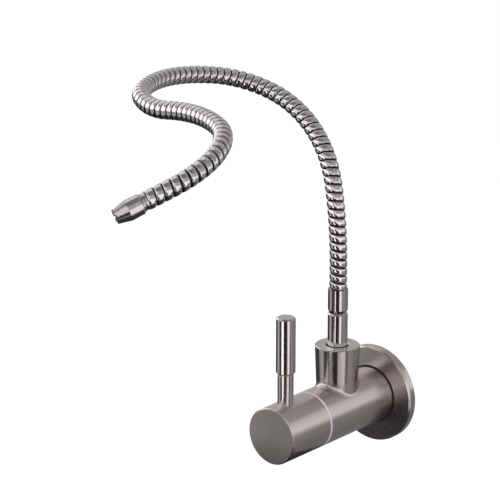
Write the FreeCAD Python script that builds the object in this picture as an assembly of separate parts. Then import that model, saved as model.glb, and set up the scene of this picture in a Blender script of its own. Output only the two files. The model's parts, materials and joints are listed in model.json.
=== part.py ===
import FreeCAD
import Part

import math
import os

from FreeCAD import Placement, Rotation, Vector

# Wall-mounted filter tap, in millimetres.
# The origin is on the barrel axis in the plane of the wall. -Y points away from the wall, +Z up.
# A station is a distance from the wall along the barrel axis, a height one above that axis.

# Fits
running_gap = 0.05
face_gap = 0.05
thread_gap = 0.07
seal_gap = 0.02
seal_groove_play = 0.15
cut_margin = 1.0

# Barrel: a fixed rear half and a turning front half
barrel_radius = 17.5
rear_barrel_length = 65.15
front_barrel_length = 34.8
barrel_chamfer = 0.7

# Wall flange
escutcheon_radius = 30.5
escutcheon_thickness = 5.5
escutcheon_chamfer = 1.0
escutcheon_bore_gap = 0.9
escutcheon_relief_depth = 3.0
escutcheon_rim_width = 2.0
escutcheon_hub_width = 2.4
escutcheon_seal_section = 0.6
escutcheon_seal_station = 2.8
escutcheon_groove_play = 0.2

# Hollow threaded inlet, G1/2
inlet_thread_radius = 10.4775
inlet_thread_step = 0.12
inlet_reach = 17.0
inlet_insertion = 14.0
inlet_relief_radius = 9.6
inlet_relief_width = 1.8
inlet_bore_radius = 6.6
inlet_hex_flats = 13.6
inlet_hex_depth = 7.0
inlet_chamfer = 1.2
inlet_socket_clearance = 1.0
inlet_socket_chamfer = 1.4

# Spout boss, its axis set back from the front of the rear barrel
boss_setback = 25.65
boss_top = 41.4
boss_top_radius = 13.75
boss_foot_radius = 12.6
boss_foot_depth = 5.25
boss_fillet = 3.2
boss_edge_chamfer = 0.35
boss_channel_radius = 5.0
boss_socket_radius = 6.95
boss_socket_floor_rise = 1.5

# Ceramic cartridge, its seat set back from the front of the rear barrel
cartridge_depth = 34.15
water_channel_radius = 7.2
cartridge_base_radius = 10.3
cartridge_foot_gap = 0.2
cartridge_seat_length = 3.0
cartridge_wall = 1.2
cartridge_thread_step = 1.7
cartridge_thread_length = 11.5
cartridge_step_length = 1.0
chamber_clearance = 0.9
cartridge_hex_height = 4.5
cartridge_hex_clearance = 0.75
cartridge_nose_radius = 7.2
cartridge_nose_length = 6.0
window_width = 9.0
window_length = 4.4
base_seal_height = 2.4
base_seal_bore_radius = 6.2
disc_thickness = 4.0
disc_port_inner_radius = 2.6
disc_port_outer_radius = 7.0
disc_port_angle = 76.0
gasket_section = 0.45
gasket_gap = 0.1
stem_radius = 5.0
stem_seal_section = 0.6
stem_seal_reaches = (4.5, 8.5)
carrier_length = 5.45
carrier_width = 7.5
drive_radius = 4.0
drive_standoff = 3.0
drive_length = 12.0
drive_flat = 3.4
drive_end_gap = 0.5
spindle_clip_thickness = 0.9
spindle_clip_radius = 6.6
spindle_clip_mouth = 5.0
spindle_clip_depth = 0.8

# Ring between the two halves of the barrel
washer_thickness = 1.5
washer_width = 2.6

# Turning front half
hub_wall = 3.3
hub_cavity_depth = 8.2
grub_inset = 6.5
grub_radius = 2.5
grub_length = 8.0
grub_socket_flats = 2.5
grub_socket_depth = 2.6

# Lever, its axis set back from the front of the barrel
lever_setback = 13.2
lever_neck_radius = 4.8
lever_neck_depth = 1.5
lever_neck_length = 18.6
lever_grip_radius = 5.83
lever_grip_length = 35.2
lever_top_chamfer = 0.9
lever_foot_chamfer = 1.3
lever_groove_width = 0.7
lever_groove_radius = 4.5
lever_stud_radius = 3.0
lever_stud_length = 7.5

# Spout tail, with rises above its foot, and hose ferrule
tail_radius = 6.1
tail_floor_gap = 0.6
tail_exposed_length = 20.5
tail_bore_radius = 3.8
tail_chamfer = 0.8
tail_stub_radius = 4.9
tail_stub_length = 4.0
tail_seal_section = 0.85
tail_seal_rises = (2.0, 5.8)
retainer_rise = 10.4
retainer_groove_width = 2.6
retainer_groove_depth = 0.9
retainer_radius = 2.0
retainer_tip_radius = 1.1
retainer_tip_length = 1.1
retainer_tip_gap = 0.1
retainer_length = 6.0
retainer_socket_flats = 2.0
retainer_socket_depth = 2.3
bush_rise = 13.4
bush_drop = 1.0
ferrule_radius = 6.1
ferrule_height = 14.2
ferrule_lower_chamfer = 0.9
ferrule_lower_chamfer_height = 2.4
ferrule_lip_depth = 1.0
ferrule_lip_width = 0.45

# Water liner and the hose barbs that fit its bore
liner_radius = 3.6
liner_bore_radius = 2.5
liner_pocket_gap = 0.1
liner_play = 0.4
barb_gap = 0.08
barb_ridge_depth = 0.27
barb_wall = 0.45
barb_length = 9.0
barb_flange_height = 2.5
barb_ridges = 3
barb_ridge_share = 0.3

# Gooseneck: each row is a stretch of hose on one arc.
# (turns of the strip, bend in degrees, direction of the bend in degrees)
# The direction is measured round the hose from +X towards the wall where the hose starts,
# and is carried along the hose without twist.
turn_pitch = 4.9
bend_table = (
    (3, 0, 0),
    (10, 22, 150),
    (6, 23, 184),
    (9, 32, 203),
    (8, 58, 266),
    (13, 48, 269),
    (6, 41, 280),
    (5, 25, 316),
    (11, 27, 128),
    (10, 64, 122),
    (4, 27, 127),
    (3, 0, 0),
)
# Rows of the bend table in each stiff stretch of the armour
stretches = ((0, 1), (2,), (3,), (4,), (5,), (6, 7), (8,), (9,), (10, 11))
stretch_gap = 1.5
crest_radius = 5.4
shoulder_radius = 5.26
shoulder_share = 0.17
groove_radius = 4.85

# Outlet
collar_length = 3.4
collar_radius = 5.0
collar_waist_radius = 4.4
collar_top_step = 0.8
nozzle_length = 15.4
nozzle_shoulder = 0.6
nozzle_foot_radius = 5.3
nozzle_radius = 5.8
nozzle_break_share = 0.51
nozzle_break_radius = 5.95
nozzle_tip_radius = 4.1
nozzle_bore_radius = 4.1
nozzle_throat_length = 5.0
nozzle_outlet_radius = 3.1
nozzle_outlet_length = 2.6
lip_notches = 6
lip_notch_width = 1.1
lip_notch_depth = 0.7
insert_thickness = 2.2
insert_hole_radius = 0.6
insert_hole_circle = 2.4
insert_holes = 6
nozzle_seal_section = 0.45

# Places worked out from the sizes above
OUT = Vector(0, -1, 0)
UP = Vector(0, 0, 1)
SIDE = Vector(1, 0, 0)
ORIGIN = Vector(0, 0, 0)
boss_station = rear_barrel_length - boss_setback
washer_end = rear_barrel_length + washer_thickness
washer_bore_radius = barrel_radius - washer_width
hub_start = washer_end + face_gap
hub_end = hub_start + front_barrel_length
hub_cavity_radius = barrel_radius - hub_wall
lever_station = hub_end - lever_setback
lever_neck_foot = barrel_radius - lever_neck_depth
lever_grip_foot = barrel_radius + lever_neck_length
lever_top = lever_grip_foot + lever_grip_length

cartridge_seat = rear_barrel_length - cartridge_depth
cartridge_step = cartridge_seat + cartridge_seat_length
disc_radius = cartridge_base_radius - cartridge_wall - running_gap
fixed_disc_station = cartridge_seat + base_seal_height
moving_disc_station = fixed_disc_station + disc_thickness + face_gap
carrier_station = moving_disc_station + disc_thickness + face_gap
carrier_end = carrier_station + carrier_length
cartridge_shoulder = carrier_end + face_gap
chamber_end = cartridge_shoulder + cartridge_step_length
cartridge_thread_radius = cartridge_base_radius + cartridge_thread_step
cartridge_thread_end = chamber_end + cartridge_thread_length
cartridge_hex_flats = 2 * cartridge_thread_radius
chamber_radius = cartridge_thread_radius + chamber_clearance
counterbore_radius = cartridge_hex_flats / math.sqrt(3) + cartridge_hex_clearance
nose_start = cartridge_thread_end + cartridge_hex_height
nose_end = nose_start + cartridge_nose_length
clip_station = nose_end + face_gap
clip_bore_radius = stem_radius - spindle_clip_depth
drive_start = nose_end + drive_standoff
drive_end = drive_start + drive_length
grub_station = drive_start + grub_inset

boss_socket_floor = barrel_radius + boss_socket_floor_rise
tail_foot = boss_socket_floor + tail_floor_gap
tail_top = boss_top + tail_exposed_length
retainer_height = tail_foot + retainer_rise
retainer_groove_radius = tail_radius - retainer_groove_depth
bush_foot = tail_foot + bush_rise
ferrule_top = tail_top + ferrule_height
stub_top = tail_top + tail_stub_length
liner_start_depth = ferrule_top - stub_top - face_gap
liner_pocket_radius = liner_radius + liner_pocket_gap
armour_bore_radius = liner_radius + liner_play
barb_radius = liner_bore_radius - barb_gap
barb_root_radius = barb_radius - barb_ridge_depth
barb_bore_radius = barb_root_radius - barb_wall
nozzle_tip = collar_length + nozzle_length
nozzle_outlet_foot = nozzle_tip - nozzle_outlet_length
nozzle_throat_foot = nozzle_outlet_foot - nozzle_throat_length
spout_axis = Vector(0, -boss_station, 0)
hose_start = Placement(Vector(0, -boss_station, ferrule_top), Rotation())


def turned(outline, origin=ORIGIN, direction=OUT):
    """Solid of revolution from (distance along the axis, radius) points."""
    side = SIDE if abs(direction.dot(SIDE)) < 0.9 else UP
    points = [origin + direction * along + side * radius for along, radius in outline]
    face = Part.Face(Part.makePolygon(points + [points[0]]))
    return face.revolve(origin, direction, 360)


def rod(radius, start, end):
    """Cylinder on the barrel axis between two stations."""
    return Part.makeCylinder(radius, end - start, OUT * start, OUT)


def post(radius, low, high, station):
    """Upright cylinder over the barrel axis between two heights."""
    return Part.makeCylinder(radius, high - low, Vector(0, -station, low), UP)


def ring(section, centre_radius, centre, direction):
    """O-ring of round section."""
    return Part.makeTorus(centre_radius, section, centre, direction)


def hexagon(flats, height, base, direction):
    """Hexagonal prism that stands on base along direction."""
    corner = flats / math.sqrt(3)
    side = SIDE if abs(direction.dot(SIDE)) < 0.9 else UP
    points = [
        base + Rotation(direction, 60 * k + 30).multVec(side) * corner for k in range(6)
    ]
    return Part.Face(Part.makePolygon(points + [points[0]])).extrude(direction * height)


def escutcheon():
    """Turned wall flange with a relief behind it and a groove for its seal."""
    bore = barrel_radius + escutcheon_bore_gap
    hub = bore + escutcheon_hub_width
    rim = escutcheon_radius - escutcheon_rim_width
    body = turned([
        (0, bore), (0, hub), (escutcheon_relief_depth, hub), (escutcheon_relief_depth, rim),
        (0, rim), (0, escutcheon_radius),
        (escutcheon_thickness - escutcheon_chamfer, escutcheon_radius),
        (escutcheon_thickness, escutcheon_radius - escutcheon_chamfer),
        (escutcheon_thickness, bore),
    ])
    groove_half = escutcheon_seal_section + seal_groove_play
    groove_root = barrel_radius + 2 * escutcheon_seal_section + escutcheon_groove_play
    groove = rod(groove_root, escutcheon_seal_station - groove_half,
                 escutcheon_seal_station + groove_half)
    return body.cut(groove)


def escutcheon_seal():
    """O-ring that holds the flange on the barrel."""
    centre_radius = barrel_radius + escutcheon_seal_section + seal_gap
    return ring(escutcheon_seal_section, centre_radius, OUT * escutcheon_seal_station, OUT)


def inlet_nipple():
    """Hollow threaded inlet with a hexagon socket at the wall end."""
    inner_radius = inlet_thread_radius - inlet_thread_step
    body = turned([
        (-inlet_reach, inlet_bore_radius),
        (-inlet_reach, inlet_thread_radius - inlet_chamfer),
        (-inlet_reach + inlet_chamfer, inlet_thread_radius),
        (0, inlet_thread_radius), (0, inlet_relief_radius),
        (inlet_relief_width, inlet_relief_radius), (inlet_relief_width, inner_radius),
        (inlet_insertion - inlet_chamfer, inner_radius),
        (inlet_insertion, inner_radius - inlet_chamfer), (inlet_insertion, inlet_bore_radius),
    ])
    key = hexagon(inlet_hex_flats, inlet_hex_depth, OUT * -inlet_reach, OUT)
    return body.cut(key)


def body_outside():
    """Rear barrel and spout boss as one solid, filleted where they meet."""
    barrel = rod(barrel_radius, 0, rear_barrel_length)
    boss = turned([
        (0, 0), (0, boss_foot_radius), (barrel_radius - boss_foot_depth, boss_foot_radius),
        (boss_top, boss_top_radius), (boss_top, 0),
    ], spout_axis, UP)
    body = barrel.fuse(boss).removeSplitter()
    joint_edges = [
        edge for edge in body.Edges
        if isinstance(edge.Curve, Part.BSplineCurve) and edge.BoundBox.ZMin > 0
        and edge.BoundBox.ZMax < boss_top - cut_margin
    ]
    return body.makeFillet(boss_fillet, joint_edges)


def valve_body():
    """Fixed rear barrel and boss with their water ways, seats and threads."""
    body = body_outside()
    inlet_socket_radius = inlet_thread_radius + thread_gap
    hollows = (
        rod(inlet_socket_radius, 0, inlet_insertion + inlet_socket_clearance),
        turned([(0, 0), (0, inlet_socket_radius + inlet_socket_chamfer),
                (inlet_socket_chamfer, inlet_socket_radius), (inlet_socket_chamfer, 0)]),
        rod(water_channel_radius, inlet_insertion, cartridge_seat + cut_margin),
        rod(cartridge_base_radius + running_gap, cartridge_seat, cartridge_step + cut_margin),
        rod(chamber_radius, cartridge_step, chamber_end),
        rod(cartridge_thread_radius + thread_gap, chamber_end - cut_margin,
            cartridge_thread_end + cut_margin),
        rod(counterbore_radius, cartridge_thread_end, rear_barrel_length + cut_margin),
        post(boss_channel_radius, 0, boss_socket_floor + cut_margin, boss_station),
        post(boss_socket_radius, boss_socket_floor, boss_top + cut_margin, boss_station),
        Part.makeCylinder(retainer_radius + thread_gap, boss_top_radius + cut_margin,
                          spout_axis + UP * retainer_height, -OUT),
    )
    for hollow in hollows:
        body = body.cut(hollow)
    rim = [
        edge for edge in body.Edges
        if isinstance(edge.Curve, Part.Circle)
        and abs(edge.BoundBox.ZMin - boss_top) < running_gap
        and abs(edge.BoundBox.ZMax - boss_top) < running_gap
    ]
    return body.makeChamfer(boss_edge_chamfer, rim)


def cartridge_housing():
    """Brass housing of the cartridge with its hexagon and four water windows."""
    base = cartridge_base_radius
    bore = cartridge_base_radius - cartridge_wall
    thread = cartridge_thread_radius
    stem_bore = stem_radius + running_gap
    body = turned([
        (cartridge_seat + cartridge_foot_gap, bore), (cartridge_seat + cartridge_foot_gap, base),
        (chamber_end, base), (chamber_end, thread), (nose_start, thread),
        (nose_start, cartridge_nose_radius), (nose_end, cartridge_nose_radius),
        (nose_end, stem_bore), (cartridge_shoulder, stem_bore), (cartridge_shoulder, bore),
    ])
    flange = hexagon(cartridge_hex_flats, cartridge_hex_height - face_gap,
                     OUT * (cartridge_thread_end + face_gap), OUT)
    core = rod(thread - cut_margin, cartridge_thread_end, nose_start + cut_margin)
    body = body.fuse(flange.cut(core)).removeSplitter()
    through = 4 * base
    for wide, high in ((through, window_width), (window_width, through)):
        corner = Vector(-wide / 2, -carrier_station - window_length, -high / 2)
        body = body.cut(Part.makeBox(wide, window_length, high, corner))
    return body


def cartridge_base_seal():
    """Rubber seat under the fixed disc."""
    return turned([
        (cartridge_seat, base_seal_bore_radius), (cartridge_seat, disc_radius),
        (fixed_disc_station, disc_radius), (fixed_disc_station, base_seal_bore_radius),
    ])


def cartridge_gasket():
    """O-ring round the housing where it enters its seat."""
    centre_radius = cartridge_base_radius + gasket_section + seal_gap
    station = cartridge_step + gasket_section + gasket_gap
    return ring(gasket_section, centre_radius, OUT * station, OUT)


def ported_disc(station, start_angle):
    """Ceramic disc with two opposite sector ports."""
    disc = rod(disc_radius, station, station + disc_thickness)
    for half_turn in (0, 180):
        wedge = Part.makeCylinder(disc_port_outer_radius, disc_thickness + 2 * cut_margin,
                                  OUT * (station - cut_margin), OUT, disc_port_angle)
        hub = rod(disc_port_inner_radius, station - 2 * cut_margin,
                  station + disc_thickness + 2 * cut_margin)
        wedge = wedge.cut(hub)
        wedge.rotate(ORIGIN, OUT, start_angle + half_turn)
        disc = disc.cut(wedge)
    return disc


def fixed_ceramic_disc():
    """Disc keyed to the housing."""
    return ported_disc(fixed_disc_station, 0)


def moving_ceramic_disc():
    """Disc that turns with the spindle, closed at rest."""
    return ported_disc(moving_disc_station, 90)


def cartridge_spindle():
    """Spindle from the disc carrier to the flatted drive inside the front barrel."""
    groove_root = clip_bore_radius - running_gap
    groove_end = clip_station + spindle_clip_thickness + face_gap
    stem = turned([
        (carrier_station, 0), (carrier_station, stem_radius), (clip_station, stem_radius),
        (clip_station, groove_root), (groove_end, groove_root), (groove_end, stem_radius),
        (drive_start, stem_radius), (drive_start, drive_radius), (drive_end, drive_radius),
        (drive_end, 0),
    ])
    carrier = rod(disc_radius, carrier_station, carrier_end).common(
        Part.makeBox(4 * disc_radius, carrier_length, carrier_width,
                     Vector(-2 * disc_radius, -carrier_end, -carrier_width / 2)))
    body = stem.fuse(carrier).removeSplitter()
    half = stem_seal_section + seal_groove_play
    for reach in stem_seal_reaches:
        station = cartridge_shoulder + reach
        outer = rod(stem_radius + cut_margin, station - half, station + half)
        core = rod(stem_radius - 2 * stem_seal_section, station - half, station + half)
        body = body.cut(outer.cut(core))
    flat = Part.makeBox(4 * drive_radius, drive_length, drive_radius,
                        Vector(-2 * drive_radius, -drive_end, -drive_flat - drive_radius))
    return body.cut(flat)


def spindle_o_rings():
    """Two O-rings that seal the spindle in the housing."""
    centre_radius = stem_radius - stem_seal_section + seal_gap
    return Part.makeCompound([
        ring(stem_seal_section, centre_radius, OUT * (cartridge_shoulder + reach), OUT)
        for reach in stem_seal_reaches
    ])


def spindle_clip():
    """Open retaining ring in the spindle's groove."""
    start = clip_station + face_gap / 2
    end = start + spindle_clip_thickness
    body = rod(spindle_clip_radius, start, end)
    body = body.cut(rod(clip_bore_radius, start - cut_margin, end + cut_margin))
    mouth = Part.makeBox(spindle_clip_mouth, spindle_clip_thickness + 2 * cut_margin,
                         2 * spindle_clip_radius,
                         Vector(-spindle_clip_mouth / 2, -end - cut_margin, 0))
    return body.cut(mouth)


def friction_washer():
    """Pale ring on which the front barrel turns."""
    return turned([
        (rear_barrel_length, washer_bore_radius), (rear_barrel_length, barrel_radius),
        (washer_end, barrel_radius), (washer_end, washer_bore_radius),
    ])


def handle_hub():
    """Turning front barrel with its drive bore, lever seat and grub screw hole."""
    drive_bore = drive_radius + running_gap
    cavity_end = hub_start + hub_cavity_depth
    bore_end = drive_end + drive_end_gap
    body = turned([
        (hub_start, hub_cavity_radius), (hub_start, barrel_radius),
        (hub_end - barrel_chamfer, barrel_radius), (hub_end, barrel_radius - barrel_chamfer),
        (hub_end, 0), (bore_end, 0), (bore_end, drive_bore), (cavity_end, drive_bore),
        (cavity_end, hub_cavity_radius),
    ])
    hollows = (
        post(lever_stud_radius + thread_gap, lever_neck_foot - lever_stud_length - cut_margin,
             barrel_radius + cut_margin, lever_station),
        post(lever_neck_radius + running_gap, lever_neck_foot, barrel_radius + cut_margin,
             lever_station),
        post(grub_radius + thread_gap, -barrel_radius - cut_margin, 0, grub_station),
    )
    for hollow in hollows:
        body = body.cut(hollow)
    return body


def hub_grub_screw():
    """Socket screw under the front barrel that bears on the spindle's flat."""
    tip = -drive_flat - running_gap
    head = tip - grub_length
    key = hexagon(grub_socket_flats, grub_socket_depth, Vector(0, -grub_station, head), UP)
    return post(grub_radius, head, tip, grub_station).cut(key)


def lever():
    """Turned lever: threaded stud, neck, narrow groove and thicker grip."""
    stud_foot = lever_neck_foot - lever_stud_length
    groove_foot = lever_grip_foot - lever_groove_width
    return turned([
        (stud_foot, 0), (stud_foot, lever_stud_radius), (lever_neck_foot, lever_stud_radius),
        (lever_neck_foot, lever_neck_radius), (groove_foot, lever_neck_radius),
        (groove_foot, lever_groove_radius), (lever_grip_foot, lever_groove_radius),
        (lever_grip_foot, lever_neck_radius),
        (lever_grip_foot + lever_foot_chamfer, lever_grip_radius),
        (lever_top - lever_top_chamfer, lever_grip_radius),
        (lever_top, lever_grip_radius - lever_top_chamfer), (lever_top, 0),
    ], Vector(0, -lever_station, 0), UP)


def spout_tail():
    """Tube that turns in the boss, with two seal grooves and a retaining groove."""
    seal_half = tail_seal_section + seal_groove_play
    seal_root = boss_socket_radius - running_gap - 2 * tail_seal_section
    outline = [(tail_foot, tail_bore_radius), (tail_foot, tail_radius)]
    for rise in tail_seal_rises:
        low = tail_foot + rise - seal_half
        high = tail_foot + rise + seal_half
        outline += [(low, tail_radius), (low, seal_root), (high, seal_root), (high, tail_radius)]
    low = retainer_height - retainer_groove_width / 2
    high = retainer_height + retainer_groove_width / 2
    outline += [
        (low, tail_radius), (low, retainer_groove_radius), (high, retainer_groove_radius),
        (high, tail_radius), (tail_top - tail_chamfer, tail_radius),
        (tail_top, tail_radius - tail_chamfer), (tail_top, tail_stub_radius),
        (stub_top, tail_stub_radius), (stub_top, tail_bore_radius),
    ]
    return turned(outline, spout_axis, UP)


def spout_o_rings():
    """Two O-rings that seal the tail in the boss."""
    centre_radius = boss_socket_radius - running_gap - tail_seal_section + seal_gap
    return Part.makeCompound([
        ring(tail_seal_section, centre_radius, spout_axis + UP * (tail_foot + rise), UP)
        for rise in tail_seal_rises
    ])


def spout_bush():
    """Plastic bush that guides the tail at the top of the boss."""
    top = boss_top - bush_drop
    inner = tail_radius + running_gap
    outer = boss_socket_radius - running_gap
    return turned([(bush_foot, inner), (bush_foot, outer), (top, outer), (top, inner)],
                  spout_axis, UP)


def spout_grub_screw():
    """Screw behind the boss whose tip holds the tail down and lets it turn."""
    centre = spout_axis + UP * retainer_height
    tip_start = retainer_groove_radius + retainer_tip_gap
    thread_start = tip_start + retainer_tip_length
    head = thread_start + retainer_length
    screw = turned([
        (tip_start, 0), (tip_start, retainer_tip_radius), (thread_start, retainer_tip_radius),
        (thread_start, retainer_radius), (head, retainer_radius), (head, 0),
    ], centre, -OUT)
    key = hexagon(retainer_socket_flats, retainer_socket_depth,
                  centre - OUT * (head - retainer_socket_depth), -OUT)
    return screw.cut(key)


def hose_ferrule():
    """Collar that joins the armour to the tail, with a lip round the first turn."""
    foot = tail_top
    lip_radius = ferrule_radius - ferrule_lip_width
    stub_bore = tail_stub_radius + thread_gap
    return turned([
        (foot, stub_bore), (foot, ferrule_radius - ferrule_lower_chamfer),
        (foot + ferrule_lower_chamfer_height, ferrule_radius),
        (ferrule_top + ferrule_lip_depth, ferrule_radius),
        (ferrule_top + ferrule_lip_depth, lip_radius), (ferrule_top, lip_radius),
        (ferrule_top, liner_pocket_radius), (stub_top, liner_pocket_radius),
        (stub_top, stub_bore),
    ], spout_axis, UP)


def barb(flange_radius):
    """Hose barb that points along +Z, with its flange below the origin."""
    step = barb_length / barb_ridges
    outline = [
        (-barb_flange_height, barb_bore_radius), (-barb_flange_height, flange_radius),
        (0, flange_radius), (0, barb_root_radius),
    ]
    for ridge in range(barb_ridges):
        foot = ridge * step
        edge = foot + barb_ridge_share * step
        outline += [(edge, barb_root_radius), (edge, barb_radius), (foot + step, barb_root_radius)]
    outline += [(barb_length, barb_bore_radius)]
    return turned(outline, ORIGIN, UP)


def placed(shape, placement):
    """Copy of a shape moved by a placement."""
    return shape.transformed(placement.toMatrix(), True)


def base_barb():
    """Barb that joins the liner to the tail."""
    seat = Placement(spout_axis + UP * (stub_top - face_gap), Rotation())
    return placed(barb(tail_bore_radius - running_gap), seat)


def row_lengths():
    """Length of hose on each row of the bend table."""
    return [turns * turn_pitch for turns, bend, towards in bend_table]


def bent(row, distance):
    """Placement at a distance along one row, seen from the row's start."""
    turns, bend, towards = bend_table[row]
    if bend == 0:
        return Placement(UP * distance, Rotation())
    bend_radius = turns * turn_pitch / math.radians(bend)
    angle = distance / bend_radius
    direction = Vector(math.cos(math.radians(towards)), math.sin(math.radians(towards)), 0)
    offset = direction * bend_radius * (1 - math.cos(angle))
    return Placement(offset + UP * bend_radius * math.sin(angle),
                     Rotation(UP.cross(direction), math.degrees(angle)))


def hose_placement(distance):
    """Place and direction of the hose axis; its Z runs along the hose."""
    placement = hose_start
    for row, length in enumerate(row_lengths()):
        if distance <= length or row == len(bend_table) - 1:
            return placement.multiply(bent(row, distance))
        placement = placement.multiply(bent(row, length))
        distance -= length


def hose_length():
    """Length of the armour from the ferrule to the outlet collar."""
    return sum(row_lengths())


def circle_at(distance, radius):
    """Wire of a circle square to the hose axis, on its carried X axis."""
    circle = Part.Wire(Part.makeCircle(radius))
    return placed(circle, hose_placement(distance))


def armour(stretch):
    """One stiff stretch of the ribbed armour, with its bore."""
    lengths = row_lengths()
    rows = stretches[stretch]
    start = sum(lengths[:rows[0]])
    end = sum(lengths[:rows[-1] + 1])
    if stretch > 0:
        start += stretch_gap / 2
    if stretch < len(stretches) - 1:
        end -= stretch_gap / 2
    turns = sum(bend_table[row][0] for row in rows)
    pitch = (end - start) / turns
    rib = ((0, groove_radius), (shoulder_share, shoulder_radius), (0.5, crest_radius),
           (1 - shoulder_share, shoulder_radius))
    outer = []
    inner = []
    for turn in range(turns):
        foot = start + turn * pitch
        outer += [circle_at(foot + share * pitch, radius) for share, radius in rib]
        inner.append(circle_at(foot, armour_bore_radius))
    outer.append(circle_at(end, groove_radius))
    inner.append(circle_at(end, armour_bore_radius))
    return Part.makeLoft(outer, True, True).cut(Part.makeLoft(inner, True, True))


def hose_path(before, after):
    """Wire along the hose axis, extended straight at both ends."""
    first = hose_placement(0)
    last = hose_placement(hose_length())
    edges = [Part.makeLine(first.multVec(UP * -before), first.Base)]
    distance = 0
    for row, length in enumerate(row_lengths()):
        start, middle, end = (
            hose_placement(distance + share * length).Base for share in (0, 0.5, 1)
        )
        if bend_table[row][1] == 0:
            edges.append(Part.makeLine(start, end))
        else:
            edges.append(Part.Arc(start, middle, end).toShape())
        distance += length
    edges.append(Part.makeLine(last.Base, last.multVec(UP * after)))
    return Part.Wire(edges)


def water_liner():
    """Plastic water tube from the flange of the lower barb to the outlet's collar."""
    path = hose_path(liner_start_depth, face_gap)
    foot = hose_start.multVec(UP * -liner_start_depth)
    tubes = [
        path.makePipeShell([Part.Wire(Part.makeCircle(radius, foot, UP))], True, False)
        for radius in (liner_radius, liner_bore_radius)
    ]
    liner = tubes[0].cut(tubes[1])
    expected = math.pi * (liner_radius ** 2 - liner_bore_radius ** 2) * path.Length
    print("liner: length %.1f mm, volume over section times length %.4f"
          % (path.Length, liner.Volume / expected))
    return liner


def at_outlet(shape):
    """Moves a shape built along +Z to the free end of the hose."""
    return placed(shape, hose_placement(hose_length()))


def nozzle_collar():
    """Collar of two beads between the armour and the nozzle."""
    bead = collar_length / 6
    return at_outlet(turned([
        (0, liner_pocket_radius), (0, groove_radius), (bead, collar_radius),
        (2 * bead, collar_radius), (3 * bead, collar_waist_radius), (4 * bead, collar_radius),
        (5 * bead, collar_radius), (collar_length, nozzle_foot_radius - collar_top_step),
        (collar_length, liner_pocket_radius),
    ], ORIGIN, UP))


def nozzle():
    """Tapered outlet with a notched lip."""
    foot = collar_length
    break_height = foot + nozzle_length * nozzle_break_share
    body = turned([
        (foot, nozzle_bore_radius), (foot, nozzle_foot_radius),
        (foot + nozzle_shoulder, nozzle_radius), (break_height, nozzle_break_radius),
        (nozzle_tip, nozzle_tip_radius), (nozzle_tip, nozzle_outlet_radius),
        (nozzle_outlet_foot, nozzle_outlet_radius), (nozzle_throat_foot, nozzle_bore_radius),
    ], ORIGIN, UP)
    for notch in range(lip_notches):
        slot = Part.makeBox(2 * nozzle_tip_radius, lip_notch_width, lip_notch_depth + cut_margin,
                            Vector(0, -lip_notch_width / 2, nozzle_tip - lip_notch_depth))
        slot.rotate(ORIGIN, UP, 360 / lip_notches * (notch + 0.5))
        body = body.cut(slot)
    return at_outlet(body)


def tip_barb():
    """Barb that joins the liner to the nozzle."""
    barb_shape = barb(nozzle_bore_radius - running_gap)
    barb_shape.rotate(ORIGIN, SIDE, 180)
    barb_shape.translate(UP * (collar_length + face_gap))
    return at_outlet(barb_shape)


def nozzle_insert():
    """Flow straightener: a disc with a ring of holes round a middle one."""
    foot = nozzle_throat_foot - insert_thickness - face_gap
    body = Part.makeCylinder(nozzle_bore_radius - running_gap, insert_thickness, UP * foot, UP)
    centres = [ORIGIN] + [
        Rotation(UP, 360 / insert_holes * hole).multVec(SIDE) * insert_hole_circle
        for hole in range(insert_holes)
    ]
    for centre in centres:
        body = body.cut(Part.makeCylinder(insert_hole_radius, insert_thickness + 2 * cut_margin,
                                          centre + UP * (foot - cut_margin), UP))
    return at_outlet(body)


def nozzle_seal():
    """O-ring in the nozzle against the flange of the barb."""
    foot = collar_length + face_gap + barb_flange_height
    centre = UP * (foot + nozzle_seal_section + seal_gap)
    centre_radius = nozzle_bore_radius - running_gap - nozzle_seal_section
    return at_outlet(ring(nozzle_seal_section, centre_radius, centre, UP))


def report_hinges():
    """Prints each hinge of the armour and its axis.

    Odd hinges bend in the plane of the arc that follows, even ones square to it.
    """
    distance = 0
    lengths = row_lengths()
    for stretch, rows in enumerate(stretches):
        if stretch > 0:
            place = hose_placement(distance)
            towards = math.radians(bend_table[rows[0]][2])
            in_plane = Vector(-math.sin(towards), math.cos(towards), 0)
            across = Vector(math.cos(towards), math.sin(towards), 0)
            axis = place.Rotation.multVec(in_plane if stretch % 2 else across)
            print("hinge %d at %.3f %.3f %.3f axis %.5f %.5f %.5f"
                  % ((stretch,) + tuple(place.Base) + tuple(axis)))
        distance += sum(lengths[row] for row in rows)


PIECES = (
    escutcheon, escutcheon_seal, inlet_nipple, valve_body,
    cartridge_housing, cartridge_base_seal, cartridge_gasket,
    fixed_ceramic_disc, moving_ceramic_disc,
    cartridge_spindle, spindle_o_rings, spindle_clip,
    friction_washer, handle_hub, hub_grub_screw, lever,
    spout_tail, spout_o_rings, spout_bush, spout_grub_screw,
    hose_ferrule, base_barb, water_liner, tip_barb,
    nozzle_collar, nozzle, nozzle_insert, nozzle_seal,
)


def main():
    """Builds every piece and writes it under its own name."""
    os.makedirs("parts", exist_ok=True)
    shapes = {build.__name__: build() for build in PIECES}
    for stretch in range(len(stretches)):
        shapes["gooseneck_%d" % (stretch + 1)] = armour(stretch)
    for name, shape in shapes.items():
        if not shape.isValid() or shape.Volume <= 0:
            print("check %s: valid %s, volume %.3f" % (name, shape.isValid(), shape.Volume))
        shape.exportStep("parts/%s.step" % name)
    report_hinges()
    print("%d pieces, hose %.1f mm" % (len(shapes), hose_length()))


main()
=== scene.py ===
"""Looks of a wall-mounted filter tap: finishes, wound gooseneck, inlet thread and studio."""

from __future__ import annotations

import json
import logging
import math
from dataclasses import dataclass, field, replace
from enum import Enum
from typing import Callable, Sequence, Union

import bmesh
import bpy
from mathutils import Matrix, Vector

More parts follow.
